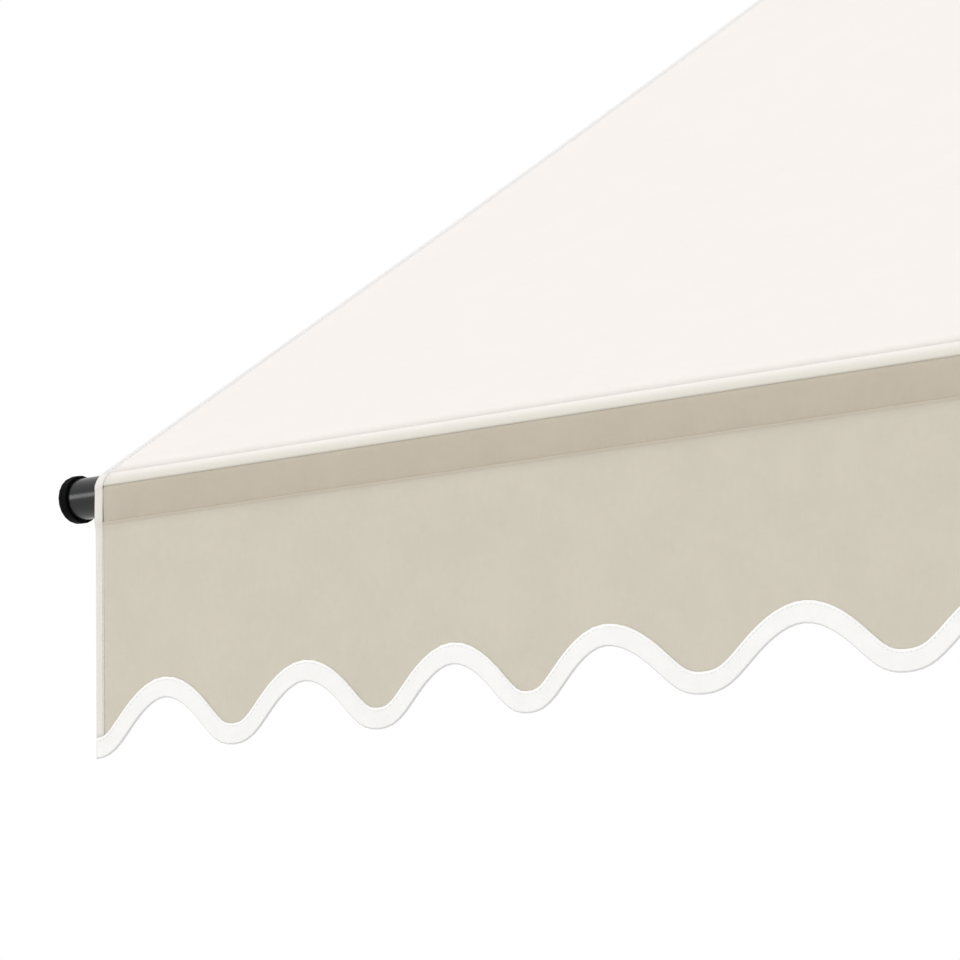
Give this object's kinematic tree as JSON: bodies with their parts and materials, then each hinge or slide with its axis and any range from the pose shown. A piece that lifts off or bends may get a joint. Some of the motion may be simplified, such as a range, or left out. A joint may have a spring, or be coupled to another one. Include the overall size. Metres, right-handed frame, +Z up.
{
  "type": "clamp awning",
  "caption": "Clamp awning: floor-to-ceiling telescopic posts, cloth roller with crank gear, folding arms and a front bar with a scalloped valance.",
  "frame": {"origin": "on the floor, midway between the two posts' axes", "axes": "+Z up along the posts, +X to the right along the front bar, -Y outwards from the wall"},
  "size_m": [2.0085, 1.4465, 2.8],
  "materials": {
    "anthracite_steel": "satin powder coat",
    "anthracite_aluminium": "satin powder coat",
    "black_plastic": "fine matt grain",
    "rubber": "matt",
    "zinc_steel": "zinc plated",
    "bronze": "machined",
    "awning_cloth": "woven polyester, coated",
    "edge_binding": "woven tape"
  },
  "bodies": {
    "legs": {"left_foot_pad": "rubber", "left_foot_plate": "anthracite_steel", "left_lower_post": "anthracite_steel", "left_post_collar": "black_plastic", "right_foot_pad": "rubber", "right_foot_plate": "anthracite_steel", "right_lower_post": "anthracite_steel", "right_post_collar": "black_plastic"},
    "head": {"left_upper_post": "anthracite_steel", "left_post_clamp": "anthracite_aluminium", "left_roller_bracket": "anthracite_steel", "left_shoulder_bracket": "anthracite_aluminium", "left_shoulder_pin": "zinc_steel", "right_upper_post": "anthracite_steel", "right_post_clamp": "anthracite_aluminium", "right_roller_bracket": "anthracite_steel", "right_shoulder_bracket": "anthracite_aluminium", "right_shoulder_pin": "zinc_steel", "torsion_bar": "anthracite_steel", "gearbox_housing": "black_plastic", "gearbox_cover": "black_plastic", "canopy": "awning_cloth"},
    "left_knob": {"left_clamp_knob": "black_plastic"},
    "left_nut": {"left_jack_nut": "anthracite_steel"},
    "left_jack": {"left_jack_spindle": "zinc_steel", "left_ceiling_pad": "rubber"},
    "left_rear": {"left_shoulder_eye": "anthracite_aluminium", "left_rear_arm": "anthracite_aluminium", "left_elbow_fork": "anthracite_aluminium", "left_elbow_pin": "zinc_steel"},
    "left_front": {"left_elbow_eye": "anthracite_aluminium", "left_front_arm": "anthracite_aluminium", "left_wrist_eye": "anthracite_aluminium"},
    "right_knob": {"right_clamp_knob": "black_plastic"},
    "right_nut": {"right_jack_nut": "anthracite_steel"},
    "right_jack": {"right_jack_spindle": "zinc_steel", "right_ceiling_pad": "rubber"},
    "right_rear": {"right_shoulder_eye": "anthracite_aluminium", "right_rear_arm": "anthracite_aluminium", "right_elbow_fork": "anthracite_aluminium", "right_elbow_pin": "zinc_steel"},
    "right_front": {"right_elbow_eye": "anthracite_aluminium", "right_front_arm": "anthracite_aluminium", "right_wrist_eye": "anthracite_aluminium"},
    "roller": {"roller_tube": "zinc_steel", "cloth_roll": "awning_cloth", "idle_plug": "black_plastic", "drive_plug": "zinc_steel", "worm_wheel": "bronze"},
    "worm": {"worm_shaft": "zinc_steel"},
    "front_bar": {"front_bar": "anthracite_steel", "left_bar_cap": "black_plastic", "right_bar_cap": "black_plastic", "bar_pocket": "awning_cloth", "valance": "awning_cloth", "valance_binding": "edge_binding", "left_wrist_bracket": "anthracite_aluminium", "right_wrist_bracket": "anthracite_aluminium", "left_wrist_pin": "zinc_steel", "right_wrist_pin": "zinc_steel"}
  },
  "joints": [
    {"name": "height_slide", "type": "slide", "parent": "legs", "child": "head", "axis": [0, 0, 1], "range_m": [-0.5, 0.2]},
    {"name": "arm_fold", "type": "hinge", "parent": "head", "child": "left_rear", "pos_m": [-0.835, -0.10407, 2.55181], "axis": [0, -0.5519, 0.8339], "range_deg": [0, 74], "deforming": ["canopy"]},
    {"name": "left_elbow", "type": "hinge", "parent": "left_rear", "child": "left_front", "pos_m": [-0.64961, -0.71036, 2.15052], "axis": [0, -0.5519, 0.8339], "range_deg": [-148, 0]},
    {"name": "left_wrist", "type": "hinge", "parent": "left_front", "child": "front_bar", "pos_m": [-0.835, -1.31665, 1.74923], "axis": [0, -0.5519, 0.8339], "range_deg": [0, 74]},
    {"name": "right_shoulder", "type": "hinge", "parent": "head", "child": "right_rear", "pos_m": [0.835, -0.10407, 2.55181], "axis": [0, -0.5519, 0.8339], "range_deg": [-74, 0]},
    {"name": "right_elbow", "type": "hinge", "parent": "right_rear", "child": "right_front", "pos_m": [0.64961, -0.71036, 2.15052], "axis": [0, -0.5519, 0.8339], "range_deg": [0, 148]},
    {"name": "roller_spin", "type": "hinge", "parent": "head", "child": "roller", "pos_m": [0, -0.082, 2.6], "axis": [1, 0, 0], "range_deg": [-3014, 0]},
    {"name": "worm_spin", "type": "hinge", "parent": "head", "child": "worm", "pos_m": [0.994, -0.103, 2.6], "axis": [0, 0, 1], "range_deg": [-21098, 0]},
    {"name": "left_nut_turn", "type": "hinge", "parent": "head", "child": "left_nut", "pos_m": [-0.9, 0, 2.69], "axis": [0, 0, 1], "range_deg": [-3600, 0]},
    {"name": "left_jack_lift", "type": "slide", "parent": "head", "child": "left_jack", "axis": [0, 0, 1], "range_m": [0, 0.0401]},
    {"name": "left_knob_turn", "type": "hinge", "parent": "legs", "child": "left_knob", "pos_m": [-0.9, 0, 1.56], "axis": [0, -1, 0], "range_deg": [0, 360]},
    {"name": "right_nut_turn", "type": "hinge", "parent": "head", "child": "right_nut", "pos_m": [0.9, 0, 2.69], "axis": [0, 0, 1], "range_deg": [-3600, 0]},
    {"name": "right_jack_lift", "type": "slide", "parent": "head", "child": "right_jack", "axis": [0, 0, 1], "range_m": [0, 0.0401]},
    {"name": "right_knob_turn", "type": "hinge", "parent": "legs", "child": "right_knob", "pos_m": [0.9, 0, 1.56], "axis": [0, -1, 0], "range_deg": [0, 360]}
  ],
  "couplings": [
    {"joint": "left_elbow", "follows": "arm_fold", "ratio": -2},
    {"joint": "left_wrist", "follows": "arm_fold", "ratio": 1},
    {"joint": "right_shoulder", "follows": "arm_fold", "ratio": -1},
    {"joint": "right_elbow", "follows": "arm_fold", "ratio": 2},
    {"joint": "roller_spin", "follows": "arm_fold", "ratio": -40.728},
    {"joint": "worm_spin", "follows": "arm_fold", "ratio": -285.1},
    {"joint": "left_jack_lift", "follows": "left_nut_turn", "m_per_rad": -0.00063662},
    {"joint": "right_jack_lift", "follows": "right_nut_turn", "m_per_rad": -0.00063662}
  ]
}
